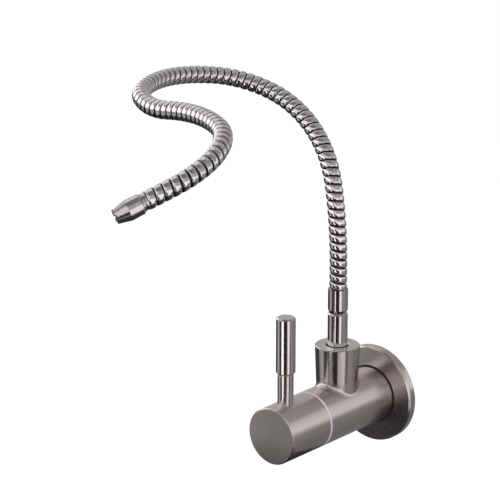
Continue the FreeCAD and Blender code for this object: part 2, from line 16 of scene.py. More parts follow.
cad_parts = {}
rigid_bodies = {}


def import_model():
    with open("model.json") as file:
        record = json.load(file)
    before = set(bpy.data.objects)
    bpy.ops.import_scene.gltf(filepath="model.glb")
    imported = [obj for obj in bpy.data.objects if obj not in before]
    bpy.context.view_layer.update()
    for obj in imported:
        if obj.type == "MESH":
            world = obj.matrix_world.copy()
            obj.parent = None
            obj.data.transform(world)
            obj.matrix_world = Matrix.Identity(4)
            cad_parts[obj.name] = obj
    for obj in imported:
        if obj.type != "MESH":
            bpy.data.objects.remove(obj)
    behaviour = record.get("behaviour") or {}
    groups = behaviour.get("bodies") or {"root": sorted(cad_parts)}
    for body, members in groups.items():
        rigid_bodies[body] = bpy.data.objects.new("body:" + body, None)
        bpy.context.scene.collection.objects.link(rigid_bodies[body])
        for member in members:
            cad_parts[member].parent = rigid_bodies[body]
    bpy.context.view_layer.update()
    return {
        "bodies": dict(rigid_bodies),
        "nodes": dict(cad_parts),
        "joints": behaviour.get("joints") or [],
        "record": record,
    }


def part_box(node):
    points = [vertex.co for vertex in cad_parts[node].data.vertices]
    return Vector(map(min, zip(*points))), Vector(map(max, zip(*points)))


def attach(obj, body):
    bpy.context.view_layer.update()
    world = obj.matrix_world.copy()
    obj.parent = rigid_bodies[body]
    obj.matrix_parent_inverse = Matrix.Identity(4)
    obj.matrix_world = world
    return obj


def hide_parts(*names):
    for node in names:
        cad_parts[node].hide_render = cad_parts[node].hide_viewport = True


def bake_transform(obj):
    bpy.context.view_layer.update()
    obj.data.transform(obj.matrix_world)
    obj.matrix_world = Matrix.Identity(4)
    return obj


log = logging.getLogger("filter_tap")

MM = 0.001
STRIP_UV = "strip"
# Middle of the strip's width, as a share of the pitch
STRIP_MIDDLE = 0.47
# Range in which most values of a noise lie
NOISE_RANGE = (0.3, 0.7)
# Distances of the studio's cards from the tap, in metres
ROOM_RADIUS = 0.86
SCREEN_RADIUS = 0.80
SLIT_RADIUS = 0.74

Colour = tuple[float, float, float]
Point = tuple[float, float, float]
Radius = Union[float, Callable[[float], float]]

WARM_WHITE: Colour = (1.0, 0.97, 0.965)


class Line(Enum):
    """Direction of an axis that a piece is turned or brushed round."""

    BARREL = (0.0, 1.0, 0.0)
    UPRIGHT = (0.0, 0.0, 1.0)


class Seen(Enum):
    """Kinds of rays that see the white surroundings, as Light Path names them."""

    CAMERA = "Is Camera Ray"
    GLOSSY = "Is Glossy Ray"
    TRANSMISSION = "Is Transmission Ray"


class Graph:
    """Adds and links the nodes of one material or world."""

    def __init__(self, tree: bpy.types.NodeTree) -> None:
        """Starts from an empty tree.

        Args:
            tree: The node tree to fill.
        """
        self.tree = tree
        tree.nodes.clear()

    def add(self, kind: str, inputs: dict | None = None, **settings: object) -> bpy.types.Node:
        """Adds a node.

        Args:
            kind: Blender's name of the node type, without its ShaderNode prefix.
            inputs: Values or output sockets for its inputs, by name or number.
            settings: Attributes to set on the node.

        Returns:
            The new node.
        """
        node = self.tree.nodes.new("ShaderNode" + kind)
        for key, value in settings.items():
            setattr(node, key, value)
        for key, value in (inputs or {}).items():
            if isinstance(value, bpy.types.NodeSocket):
                self.tree.links.new(value, node.inputs[key])
            else:
                node.inputs[key].default_value = value
        return node

    def math(self, operation: str, *values: object) -> bpy.types.NodeSocket:
        """Adds a Math node and returns its result.

        Args:
            operation: Blender's name of the operation.
            values: Numbers or sockets, in order.

        Returns:
            The result's socket.
        """
        node = self.add("Math", dict(enumerate(values)), operation=operation)
        return node.outputs[0]

    def vector(self, operation: str, *values: object) -> bpy.types.NodeSocket:
        """Adds a Vector Math node and returns its result.

        Args:
            operation: Blender's name of the operation.
            values: Vectors or sockets, in order.

        Returns:
            The result's socket.
        """
        node = self.add("VectorMath", dict(enumerate(values)), operation=operation)
        return node.outputs["Value" if operation in ("LENGTH", "DOT_PRODUCT") else "Vector"]

    def object_place(self) -> bpy.types.NodeSocket:
        """Adds object coordinates and returns their socket."""
        return self.add("TexCoord").outputs["Object"]

    def noise(self, place: object, scale: float, detail: float = 2.0) -> bpy.types.NodeSocket:
        """Adds a noise texture and returns its factor."""
        node = self.add("TexNoise", {"Vector": place, "Scale": scale, "Detail": detail})
        return node.outputs[0]

    def ramp(self, value: object, start: float, end: float, low: object = 0.0,
             high: object = 1.0) -> bpy.types.NodeSocket:
        """Maps one range of values to another and stops at its ends.

        Args:
            value: Socket with the value.
            start: Value at which the result is low.
            end: Value at which the result is high.
            low: Number or socket, the result at the start.
            high: Number or socket, the result at the end.

        Returns:
            The result's socket.
        """
        node = self.add("MapRange", {0: value, 1: start, 2: end, 3: low, 4: high})
        return node.outputs[0]

    def spread(self, value: object, low: object, high: object) -> bpy.types.NodeSocket:
        """Maps the range of a noise's values to the range from low to high."""
        return self.ramp(value, *NOISE_RANGE, low, high)

    def weigh(self, first: object, second: object, share: float) -> bpy.types.NodeSocket:
        """Adds up two values by weight.

        Args:
            first: Socket of the first value.
            second: Socket of the second value.
            share: Weight of the first one; the second one has the rest.

        Returns:
            The sum's socket.
        """
        return self.math("ADD", self.math("MULTIPLY", first, share),
                         self.math("MULTIPLY", second, 1 - share))

    def mix_vectors(self, factor: object, low: object, high: object) -> bpy.types.NodeSocket:
        """Mixes two vectors by a factor and returns the result."""
        return self.add("Mix", {0: factor, 4: low, 5: high}, data_type="VECTOR").outputs[1]

    def mix_colours(self, factor: object, low: object, high: object) -> bpy.types.NodeSocket:
        """Mixes two colours with alpha by a factor and returns the result."""
        return self.add("Mix", {0: factor, 6: low, 7: high}, data_type="RGBA").outputs[2]

    def mottle(self, noise: object, dark: Colour, light: Colour) -> bpy.types.NodeSocket:
        """Colours a noise, dark at its low values and light at its high ones."""
        return self.mix_colours(self.spread(noise, 0.0, 1.0), (*dark, 1.0), (*light, 1.0))

    def bump(self, height: object, strength: float, depth_mm: float) -> bpy.types.NodeSocket:
        """Adds a bump and returns its normal."""
        inputs = {"Strength": strength, "Distance": depth_mm * MM, "Height": height}
        return self.add("Bump", inputs).outputs[0]

    def surface(self, shader: bpy.types.Node) -> None:
        """Links a shader to a new material output."""
        self.add("OutputMaterial", {"Surface": shader.outputs[0]})


def new_material(name: str) -> tuple[bpy.types.Material, Graph]:
    """Makes an empty node material.

    Args:
        name: The finish's name.

    Returns:
        The material and its graph.
    """
    material = bpy.data.materials.new(name)
    material.use_nodes = True
    return material, Graph(material.node_tree)


@dataclass(frozen=True)
class Socket:
    """Upright part of a turned piece, finished round its own axis."""

    foot: float
    centre: Point
    roughness: tuple[float, float]
    fade: float = 1.5 * MM

    def above(self, graph: Graph, place: bpy.types.NodeSocket) -> bpy.types.NodeSocket:
        """Factor that is one from the foot up and zero below the fade."""
        height = graph.add("SeparateXYZ", {0: place}).outputs["Z"]
        return graph.ramp(height, self.foot - self.fade, self.foot)


@dataclass(frozen=True)
class TurnedSteel:
    """Stainless steel brushed or turned round an axis."""

    name: str
    colour: Colour
    dark: Colour
    roughness: tuple[float, float]
    anisotropy: float
    axis: tuple[float, float, float]
    depth_mm: float
    centre: Point = (0.0, 0.0, 0.0)
    socket: Socket | None = None
    lines_per_mm: float = 2.2
    # Noise steps per metre round the axis, few so that the lines run long
    lines_round: float = 22.0
    # Quarter turn from the groove's direction, so that highlights spread across the grooves
    across_grooves: float = 0.25
    fine_scale: float = 1.0
    broad_scale: float = 0.21
    cloud_scale: float = 60.0
    # Share of the fine lines in the streaks, and of the streaks in the colour
    fine_share: float = 0.55
    streak_share: float = 0.75
    bump_strength: float = 0.35

    def around(self, graph: Graph, place: bpy.types.NodeSocket, axis: Sequence[float],
               centre: Sequence[float]) -> tuple[bpy.types.NodeSocket, bpy.types.NodeSocket]:
        """Direction round an axis and the place along the turning tool's path.

        Args:
            graph: The material's graph.
            place: Object coordinates.
            axis: Direction of the axis turned round.
            centre: A point on the axis.

        Returns:
            The direction round the axis, and a vector that changes fast across the grain.
        """
        offset = graph.vector("SUBTRACT", place, centre)
        tangent = graph.vector("CROSS_PRODUCT", axis, offset)
        radius = graph.vector("LENGTH", tangent)
        along = graph.vector("DOT_PRODUCT", offset, axis)
        across = graph.math("MULTIPLY", graph.math("ADD", radius, along), self.lines_per_mm / MM)
        slow = graph.vector("MULTIPLY", tangent, (self.lines_round,) * 3)
        fast = graph.vector("MULTIPLY", graph.add("CombineXYZ", {
            0: across, 1: across, 2: across}).outputs[0], axis)
        return tangent, graph.vector("ADD", slow, fast)

    def material(self) -> bpy.types.Material:
        """Builds the finish.

        Returns:
            The material.
        """
        material, graph = new_material(self.name)
        place = graph.object_place()
        tangent, grain_place = self.around(graph, place, self.axis, self.centre)
        rough_low, rough_high = self.roughness
        if self.socket is not None:
            above = self.socket.above(graph, place)
            upright_tangent, upright_place = self.around(graph, place, Line.UPRIGHT.value,
                                                         self.socket.centre)
            tangent = graph.mix_vectors(above, tangent, upright_tangent)
            grain_place = graph.mix_vectors(above, grain_place, upright_place)
            rough_low = graph.ramp(above, 0.0, 1.0, rough_low, self.socket.roughness[0])
            rough_high = graph.ramp(above, 0.0, 1.0, rough_high, self.socket.roughness[1])
        world_tangent = graph.add("VectorTransform", {0: tangent}, vector_type="VECTOR",
                                  convert_from="OBJECT", convert_to="WORLD").outputs[0]
        streaks = graph.weigh(graph.noise(grain_place, self.fine_scale, detail=3.0),
                              graph.noise(grain_place, self.broad_scale), self.fine_share)
        tone = graph.weigh(streaks, graph.noise(place, self.cloud_scale), self.streak_share)
        shader = graph.add("BsdfPrincipled", {
            "Base Color": graph.mottle(tone, self.dark, self.colour), "Metallic": 1.0,
            "Roughness": graph.spread(streaks, rough_low, rough_high),
            "Anisotropic": self.anisotropy, "Anisotropic Rotation": self.across_grooves,
            "Tangent": world_tangent,
            "Normal": graph.bump(streaks, self.bump_strength, self.depth_mm),
        })
        graph.surface(shader)
        return material


@dataclass(frozen=True)
class StripSteel:
    """Bright rolled strip of the gooseneck, drawn along its length."""

    name: str
    colour: Colour
    dark: Colour
    # Near-black colour painted on the strip's edges: painted shade of the grooves between turns
    groove: Colour
    roughness: tuple[float, float]
    anisotropy: float
    # Quarter turn from the strip's length, so that highlights spread across its lines
    across_lines: float = 0.25
    # Noise steps for each turn along the strip and for each pitch across it
    line_steps: tuple[float, float, float] = (3.0, 26.0, 1.0)
    cloud_scale: float = 180.0
    # Share of the drawn lines in the colour and roughness
    line_share: float = 0.6
    # Distances from the strip's middle, as shares of the pitch, where the painted shade of the
    # groove starts on the strip's edge and where it is full
    painted_shade_span: tuple[float, float] = (0.355, 0.46)
    bump_strength: float = 0.3
    depth_mm: float = 0.004

    def material(self) -> bpy.types.Material:
        """Builds the finish from the strip's own coordinates.

        Returns:
            The material.
        """
        material, graph = new_material(self.name)
        strip = graph.add("UVMap", uv_map=STRIP_UV).outputs[0]
        lines = graph.noise(graph.vector("MULTIPLY", strip, self.line_steps), 1.0, detail=3.0)
        cloud = graph.noise(graph.object_place(), self.cloud_scale)
        tone = graph.weigh(lines, cloud, self.line_share)
        share = graph.add("SeparateXYZ", {0: strip}).outputs["Y"]
        edge = graph.math("ABSOLUTE", graph.math("SUBTRACT", share, STRIP_MIDDLE))
        # Painted shade: towards its edges the strip takes the groove colour, standing in for the
        # grooves' shade
        colour = graph.mix_colours(
            graph.ramp(edge, *self.painted_shade_span), graph.mottle(tone, self.dark, self.colour),
            (*self.groove, 1.0))
        along = graph.add("Tangent", direction_type="UV_MAP", uv_map=STRIP_UV)
        shader = graph.add("BsdfPrincipled", {
            "Base Color": colour, "Metallic": 1.0,
            "Roughness": graph.spread(tone, *self.roughness),
            "Anisotropic": self.anisotropy, "Anisotropic Rotation": self.across_lines,
            "Tangent": along.outputs[0],
            "Normal": graph.bump(lines, self.bump_strength, self.depth_mm),
        })
        graph.surface(shader)
        return material


@dataclass(frozen=True)
class FineMetal:
    """Plain machined metal with a fine mottled surface."""

    name: str
    colour: Colour
    dark: Colour
    roughness: tuple[float, float]
    texture_scale: float = 900.0
    bump_strength: float = 0.4
    depth_mm: float = 0.01

    def material(self) -> bpy.types.Material:
        """Builds the finish.

        Returns:
            The material.
        """
        material, graph = new_material(self.name)
        grain = graph.noise(graph.object_place(), self.texture_scale, detail=4.0)
        shader = graph.add("BsdfPrincipled", {
            "Base Color": graph.mottle(grain, self.dark, self.colour), "Metallic": 1.0,
            "Roughness": graph.spread(grain, *self.roughness),
            "Normal": graph.bump(grain, self.bump_strength, self.depth_mm),
        })
        graph.surface(shader)
        return material


@dataclass(frozen=True)
class Moulded:
    """Plastic, rubber or ceramic with a fine surface texture."""

    name: str
    colour: Colour
    dark: Colour
    roughness: tuple[float, float]
    subsurface: float = 0.0
    subsurface_mm: float = 0.5
    texture_scale: float = 1400.0
    bump_strength: float = 0.3
    depth_mm: float = 0.01

    def material(self) -> bpy.types.Material:
        """Builds the finish.

        Returns:
            The material.
        """
        material, graph = new_material(self.name)
        grain = graph.noise(graph.object_place(), self.texture_scale, detail=3.0)
        shader = graph.add("BsdfPrincipled", {
            "Base Color": graph.mottle(grain, self.dark, self.colour),
            "Roughness": graph.spread(grain, *self.roughness),
            "Subsurface Weight": self.subsurface, "Subsurface Scale": self.subsurface_mm * MM,
            "Normal": graph.bump(grain, self.bump_strength, self.depth_mm),
        })
        graph.surface(shader)
        return material


def shade(piece: bpy.types.Object, sharp_degrees: float) -> None:
    """Smooths a mesh but keeps edges over an angle sharp.

    Args:
        piece: The mesh object.
        sharp_degrees: Angle between faces from which an edge is sharp.
    """
    piece.data.shade_smooth()
    piece.data.set_sharp_from_angle(angle=math.radians(sharp_degrees))


def new_object(name: str, data: bpy.types.ID) -> bpy.types.Object:
    """Links a new object to the scene.

    Args:
        name: Its name.
        data: Its mesh, lamp or camera.

    Returns:
        The object.
    """
    thing = bpy.data.objects.new(name, data)
    bpy.context.scene.collection.objects.link(thing)
    return thing


def box_middle(node: str) -> Vector:
    """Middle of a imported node's box."""
    low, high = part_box(node)
    return (low + high) / 2


def sweep(bm: bmesh.types.BMesh, sections: Sequence[Sequence[Vector]], closed: bool,
          uvs: Sequence[Sequence[tuple[float, float]]] | None = None) -> None:
    """Skins a row of closed sections.

    Args:
        bm: Mesh to add to.
        sections: Rings of points, all with the same count.
        closed: Whether the last ring joins the first one; otherwise both ends are capped.
        uvs: Coordinates of each point, where the mesh has them.
    """
    layer = bm.loops.layers.uv.new(STRIP_UV) if uvs else None
    rings = [[bm.verts.new(point) for point in section] for section in sections]
    count = len(rings[0])
    spans = len(rings) if closed else len(rings) - 1
    for row in range(spans):
        after = (row + 1) % len(rings)
        for k in range(count):
            following = (k + 1) % count
            corners = ((row, k), (row, following), (after, following), (after, k))
            face = bm.faces.new([rings[r][c] for r, c in corners])
            if layer is not None:
                for loop, (r, c) in zip(face.loops, corners):
                    loop[layer].uv = uvs[r][c]
    if not closed:
        bm.faces.new(list(reversed(rings[0])))
        bm.faces.new(rings[-1])


def new_mesh(bm: bmesh.types.BMesh, name: str, outwards: bool) -> bpy.types.Mesh:
    """Makes a mesh of what was built.

    Args:
        bm: The built mesh, freed here.
        name: Name of the new mesh.
        outwards: Whether the faces of a closed form are turned outwards.

    Returns:
        The mesh.
    """
    if outwards:
        bmesh.ops.recalc_face_normals(bm, faces=bm.faces[:])
    mesh = bpy.data.meshes.new(name)
    bm.to_mesh(mesh)
    bm.free()
    return mesh


@dataclass
class Gooseneck:
    """Strip-wound armour of ten pieces, cut between the neck's hinges, sized in millimetres."""

    turn_pitch: float = 4.9
    steps_per_turn: int = 40
    # Length on each side of a hinge
    reach: float = 11.0
    # Turns of the strip, bend and direction of the bend in degrees, from the ferrule on
    rows: tuple[tuple[int, float, float], ...] = (
        (3, 0, 0),
        (10, 22, 150),
        (6, 23, 184),
        (9, 32, 203),
        (8, 58, 266),
        (13, 48, 269),
        (6, 41, 280),
        (5, 25, 316),
        (11, 27, 128),
        (10, 64, 122),
        (4, 27, 127),
        (3, 0, 0),
    )
    # Rows between two hinges, by number
    stretches: tuple[tuple[int, ...], ...] = (
        (0, 1), (2,), (3,), (4,), (5,), (6, 7), (8,), (9,), (10, 11))
    # Section of the strip: share of the pitch and radius
    outside: tuple[tuple[float, float], ...] = (
        (-0.10, 4.50), (0.02, 4.56), (0.045, 4.84), (0.085, 5.07), (0.15, 5.21), (0.25, 5.305),
        (0.36, 5.355), (0.47, 5.375), (0.58, 5.355), (0.69, 5.305), (0.79, 5.21), (0.855, 5.07),
        (0.90, 4.86), (0.92, 4.68),
    )
    inside: tuple[tuple[float, float], ...] = ((0.91, 4.58), (0.80, 4.48), (0.10, 4.35))
    # Shares of the pitch between which a bend's opening of a turn is measured
    crown: tuple[float, float] = (0.2, 0.8)
    sharp_degrees: float = 38.0
    row_starts: list[tuple[float, Matrix]] = field(default_factory=list)

    def __post_init__(self) -> None:
        """Places the start of every row, from where the armour leaves the ferrule."""
        tail = box_middle("spout_tail")
        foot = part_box("gooseneck_1")[0].z
        frame = Matrix.Translation(Vector((tail.x, tail.y, foot)))
        distance = 0.0
        for row, length in enumerate(self.lengths()):
            self.row_starts.append((distance, frame))
            frame = frame @ self.arc(row, length)
            distance += length

    def lengths(self) -> list[float]:
        """Length of each row in metres."""
        return [turns * self.turn_pitch * MM for turns, _, _ in self.rows]

    def place(self, distance: float) -> Matrix:
        """Frame of the hose at a distance from the ferrule.

        Args:
            distance: Distance along the hose in metres.

        Returns:
            The frame; its Z runs along the hose.
        """
        row = max((k for k, (start, _) in enumerate(self.row_starts) if start <= distance),
                  default=0)
        start, frame = self.row_starts[row]
        return frame @ self.arc(row, distance - start)

    def arc(self, row: int, distance: float) -> Matrix:
        """Frame at a distance along one row, seen from the row's start.

        Args:
            row: Number of the row.
            distance: Distance in metres.

        Returns:
            The frame.
        """
        _, bend, towards = self.rows[row]
        if bend == 0:
            return Matrix.Translation(Vector((0, 0, distance)))
        radius = self.lengths()[row] / math.radians(bend)
        angle = distance / radius
        way = Vector((math.cos(math.radians(towards)), math.sin(math.radians(towards)), 0))
        offset = way * radius * (1 - math.cos(angle)) + Vector((0, 0, radius * math.sin(angle)))
        turn = Matrix.Rotation(angle, 4, Vector((0, 0, 1)).cross(way))
        return Matrix.Translation(offset) @ turn

    def end(self) -> Matrix:
        """Frame of the hose where it meets the outlet."""
        return self.place(sum(self.lengths()))

    def cuts(self) -> tuple[list[float], list[float]]:
        """Where the armour is divided.

        Returns:
            The distances of the hinges, and those of the middles of the stretches.
        """
        lengths = self.lengths()
        ends = [sum(lengths[:rows[-1] + 1]) for rows in self.stretches]
        starts = [0.0] + ends[:-1]
        middles = [(low + high) / 2 for low, high in zip(starts, ends)]
        return ends[:-1], middles

    def opening(self, turn: float, around: Vector) -> float:
        """How far a bend draws the turns apart, at least one.

        The strip keeps its width, so its turns open on a bend's outer side.

        Args:
            turn: Place along the hose in turns.
            around: Direction from the hose's axis, seen in its frame.

        Returns:
            The room per turn, where one is that of the straight hose.
        """
        pitch = self.turn_pitch * MM
        low, high = self.crown
        crest = around * max(radius for _, radius in self.outside) * MM
        start, end = (self.place((turn + share) * pitch) @ crest for share in (low, high))
        return max(1.0, (end - start).length / ((high - low) * pitch))

    def strip(self, name: str, low: float, high: float) -> bpy.types.Object:
        """Winds the strip between two distances.

        Args:
            name: Name of the piece.
            low: Distance where it starts, in metres.
            high: Distance where it ends.

        Returns:
            The piece.
        """
        pitch = self.turn_pitch * MM
        first = round(low / pitch * self.steps_per_turn)
        last = round(high / pitch * self.steps_per_turn)
        profile = (*self.outside, *self.inside)
        bm = bmesh.new()
        sections, uvs = [], []
        for step in range(first, last + 1):
            turn = step / self.steps_per_turn
            angle = -2 * math.pi * turn
            around = Vector((math.cos(angle), math.sin(angle), 0))
            opened = self.opening(turn, around)
            section = []
            for share, radius in profile:
                drawn_in = STRIP_MIDDLE + (share - STRIP_MIDDLE) / opened
                frame = self.place((turn + drawn_in) * pitch)
                section.append(frame @ (around * radius * MM))
            sections.append(section)
            uvs.append([(turn, share) for share, _ in profile])
        sweep(bm, sections, closed=False, uvs=uvs)
        return new_object(name, new_mesh(bm, name, outwards=True))

    def trim(self, piece: bpy.types.Object, distance: float, keep_before: bool) -> None:
        """Cuts a piece square to the hose.

        Args:
            piece: The piece.
            distance: Distance of the cut in metres.
            keep_before: Whether what lies before the cut stays.
        """
        frame = self.place(distance)
        along = frame.to_3x3() @ Vector((0, 0, 1))
        bm = bmesh.new()
        bm.from_mesh(piece.data)
        geometry = bm.verts[:] + bm.edges[:] + bm.faces[:]
        cut = bmesh.ops.bisect_plane(
            bm, geom=geometry, plane_co=frame.translation, plane_no=along,
            clear_outer=keep_before, clear_inner=not keep_before)
        edges = [item for item in cut["geom_cut"] if isinstance(item, bmesh.types.BMEdge)]
        bmesh.ops.edgeloop_fill(bm, edges=edges)
        bm.to_mesh(piece.data)
        bm.free()

    def build(self, finish: StripSteel) -> list[bpy.types.Object]:
        """Winds, dresses and hangs all ten pieces.

        The first and last pieces end at the middle of their stretch. Each of the others runs
        over one hinge, from the middle of a stretch to that of the next.

        Args:
            finish: Finish of the strip.

        Returns:
            The pieces.
        """
        hinges, middles = self.cuts()
        total = sum(self.lengths())
        pitch = self.turn_pitch * MM
        bounds = [-pitch, *middles, total + pitch]
        pieces = [self.strip("gooseneck_strip_%d" % number, low, high)
                  for number, (low, high) in enumerate(zip(bounds[:-1], bounds[1:]), start=1)]
        self.trim(pieces[0], 0.0, keep_before=False)
        self.trim(pieces[-1], total, keep_before=True)
        material = finish.material()
        for piece in pieces:
            shade(piece, self.sharp_degrees)
            piece.data.materials.append(material)
        self.hang(pieces, hinges)
        return pieces

    def hang(self, pieces: Sequence[bpy.types.Object], hinges: Sequence[float]) -> None:
        """Hangs the two end pieces on their bodies and fixes the others in place.

        Args:
            pieces: The pieces, from the ferrule on.
            hinges: Distances of the hinges in metres.
        """
        bodies = ["spout"] + ["neck_%d" % k for k in range(2, len(self.stretches) + 1)]
        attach(pieces[0], "spout")
        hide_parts("gooseneck_1", "water_liner")
        for number, (piece, hinge) in enumerate(zip(pieces[1:-1], hinges)):
            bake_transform(piece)
            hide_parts("gooseneck_%d" % (number + 2))
        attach(pieces[-1], bodies[-1])
        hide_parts("gooseneck_9")


@dataclass
class InletNipple:
    """Hollow inlet with a right-handed 14-per-inch pipe thread, sized in millimetres."""

    pitch: float = 25.4 / 14
    thread_depth: float = 1.16
    crest_width: float = 0.25
    root_width: float = 1.45
    thread_radius: float = 10.4775
    # Height of the ridge's shoulders as a share of the thread's depth, and how far its foot
    # is sunk into the core
    shoulder: float = 0.85
    sunk: float = 0.15
    # Height of the ridge at its two ends, as a share, and the turns over which it rises
    fade_low: float = 0.08
    fade_turns: float = 0.5
    # Place of the thread's start along +Y, and its distance from the end inside the wall
    thread_start: float = 0.6
    thread_short: float = 0.2
    bore_radius: float = 6.6
    hex_flats: float = 13.6
    hex_depth: float = 7.0
    end_chamfer: float = 0.5
    segments: int = 96
    sharp_degrees: float = 32.0

    def hexagon(self, angle: float) -> float:
        """Distance from the axis to the hexagon's wall.

        Args:
            angle: Angle round the axis in radians.

        Returns:
            The distance.
        """
        sixth = math.pi / 3
        within = (angle % sixth) - sixth / 2
        return self.hex_flats / 2 / math.cos(within)

    def core(self, bm: bmesh.types.BMesh, wall_end: float, inner_end: float) -> None:
        """Tube under the thread, with its hexagon socket.

        Args:
            bm: Mesh to add to.
            wall_end: Place of the end inside the wall, in millimetres along +Y.
            inner_end: Place of the end inside the tap.
        """
        root = self.thread_radius - self.thread_depth
        floor = wall_end - self.hex_depth
        outline: list[tuple[float, Radius]] = [
            (inner_end, self.bore_radius), (inner_end, root - self.end_chamfer),
            (inner_end + self.end_chamfer, root), (wall_end - self.end_chamfer, root),
            (wall_end, root - self.end_chamfer), (wall_end, self.hexagon),
            (floor, self.hexagon), (floor, self.bore_radius),
        ]
        sections = []
        for k in range(self.segments):
            angle = 2 * math.pi * k / self.segments
            ray = Vector((math.cos(angle), 0, math.sin(angle)))
            sections.append([
                (ray * (radius(angle) if callable(radius) else radius) + Vector((0, y, 0))) * MM
                for y, radius in outline
            ])
        sweep(bm, sections, closed=True)

    def thread(self, bm: bmesh.types.BMesh, low: float, high: float) -> None:
        """Helical ridge that fades in and out over half a turn.

        Args:
            bm: Mesh to add to.
            low: Where it starts, in millimetres along +Y.
            high: Where it ends.
        """
        turns = (high - low - self.root_width) / self.pitch
        steps = round(turns * self.segments / 2)
        root = self.thread_radius - self.thread_depth
        foot = root - self.sunk
        sections = []
        for step in range(steps + 1):
            turn = turns * step / steps
            angle = -2 * math.pi * turn
            ray = Vector((math.cos(angle), 0, math.sin(angle)))
            faded = self.fade_low + min(turn, turns - turn) / self.fade_turns
            rise = min(1.0, faded) * self.thread_depth
            shoulder = root + rise * self.shoulder
            middle = low + self.root_width / 2 + turn * self.pitch
            outline = (
                (-self.root_width / 2, foot), (-self.crest_width, shoulder),
                (-self.crest_width / 2, root + rise), (self.crest_width / 2, root + rise),
                (self.crest_width, shoulder), (self.root_width / 2, foot),
            )
            sections.append([
                (ray * radius + Vector((0, middle + offset, 0))) * MM for offset, radius in outline
            ])
        sweep(bm, sections, closed=False)

    def build(self, finish: FineMetal) -> bpy.types.Object:
        """Builds, dresses and hangs the nipple in place of the plain one.

        Args:
            finish: Finish of the machined metal.

        Returns:
            The piece.
        """
        low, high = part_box("inlet_nipple")
        bm = bmesh.new()
        self.core(bm, high.y / MM, low.y / MM)
        self.thread(bm, self.thread_start, high.y / MM - self.thread_short)
        piece = new_object("threaded_inlet", new_mesh(bm, "threaded_inlet", outwards=True))
        shade(piece, self.sharp_degrees)
        piece.data.materials.append(finish.material())
        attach(piece, "wall_body")
        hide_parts("inlet_nipple")
        return piece


@dataclass
class Tap:
    """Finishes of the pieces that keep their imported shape."""

    outlet: Matrix
    steel: Colour = (0.575, 0.522, 0.514)
    steel_dark: Colour = (0.52, 0.467, 0.458)
    satin: Colour = (0.60, 0.575, 0.57)
    satin_dark: Colour = (0.54, 0.515, 0.51)
    # Height over the barrel from which the boss is finished round its own axis
    boss_start: float = 3 * MM

    def finishes(self) -> dict[str, list[str]]:
        """Which pieces have which finish.

        Returns:
            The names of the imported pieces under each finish.
        """
        return {
            "barrel_body": ["valve_body"],
            "barrel_front": ["handle_hub"],
            "flange": ["escutcheon"],
            "lever": ["lever"],
            "tube": ["spout_tail", "hose_ferrule"],
            "outlet": ["nozzle", "nozzle_collar"],
            "screw": ["hub_grub_screw", "spout_grub_screw"],
            "bright": ["spindle_clip"],
            "brass": ["cartridge_housing", "cartridge_spindle", "base_barb", "tip_barb"],
            "ceramic": ["fixed_ceramic_disc", "moving_ceramic_disc"],
            "rubber": ["escutcheon_seal", "cartridge_base_seal", "cartridge_gasket",
                       "spindle_o_rings", "spout_o_rings", "nozzle_seal"],
            "white_ring": ["friction_washer"],
            "black_plastic": ["spout_bush", "nozzle_insert"],
        }

    def turned(self) -> dict[str, TurnedSteel]:
        """Finishes that follow an axis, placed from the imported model.

        Returns:
            The finishes by name.
        """
        spout = tuple(box_middle("spout_tail"))
        boss_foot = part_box("handle_hub")[1].x + self.boss_start
        front = TurnedSteel(
            "brushed_front", self.steel, self.steel_dark, roughness=(0.28, 0.35), anisotropy=0.4,
            axis=Line.BARREL.value, depth_mm=0.0015)
        tube = TurnedSteel(
            "satin_tube", self.satin, self.satin_dark, roughness=(0.10, 0.14), anisotropy=0.4,
            axis=Line.UPRIGHT.value, depth_mm=0.0001, centre=spout)
        return {
            "barrel_body": replace(front, name="brushed_body",
                                   socket=Socket(boss_foot, spout, roughness=(0.15, 0.20))),
            "barrel_front": front,
            "flange": replace(front, name="turned_flange", roughness=(0.22, 0.29),
                              anisotropy=0.6, depth_mm=0.002),
            "lever": replace(tube, name="satin_lever", centre=tuple(box_middle("lever"))),
            "tube": tube,
            "outlet": replace(tube, name="satin_outlet", roughness=(0.16, 0.22),
                              axis=tuple(self.outlet.to_3x3() @ Vector((0, 0, 1))),
                              depth_mm=0.0004, centre=tuple(self.outlet.translation)),
        }

    def plain(self) -> dict[str, Union[FineMetal, Moulded]]:
        """Finishes that are alike all over.

        Returns:
            The finishes by name.
        """
        return {
            "screw": FineMetal("black_oxide", (0.07, 0.07, 0.075), (0.04, 0.04, 0.042),
                               (0.4, 0.55)),
            "bright": FineMetal("spring_steel", (0.6, 0.6, 0.61), (0.5, 0.5, 0.51), (0.25, 0.35)),
            "brass": FineMetal("machined_brass", (0.78, 0.60, 0.32), (0.68, 0.50, 0.25),
                               (0.22, 0.34)),
            "ceramic": Moulded("lapped_ceramic", (0.88, 0.86, 0.82), (0.84, 0.82, 0.78),
                               (0.10, 0.18)),
            "rubber": Moulded("black_rubber", (0.035, 0.035, 0.035), (0.02, 0.02, 0.02),
                              (0.55, 0.7)),
            "white_ring": Moulded("milky_ring", (0.84, 0.87, 0.92), (0.78, 0.81, 0.87),
                                  (0.35, 0.45), subsurface=0.2),
            "black_plastic": Moulded("black_plastic", (0.045, 0.045, 0.05),
                                     (0.03, 0.03, 0.034), (0.4, 0.5)),
        }

    def dress(self, nodes: dict[str, bpy.types.Object]) -> None:
        """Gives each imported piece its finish.

        Args:
            nodes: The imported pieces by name.
        """
        makers = {**self.turned(), **self.plain()}
        materials = {finish: maker.material() for finish, maker in makers.items()}
        for finish, names in self.finishes().items():
            for name in names:
                piece = nodes[name]
                piece.data.materials.clear()
                piece.data.materials.append(materials[finish])
                log.info("%s: %s", name, materials[finish].name)


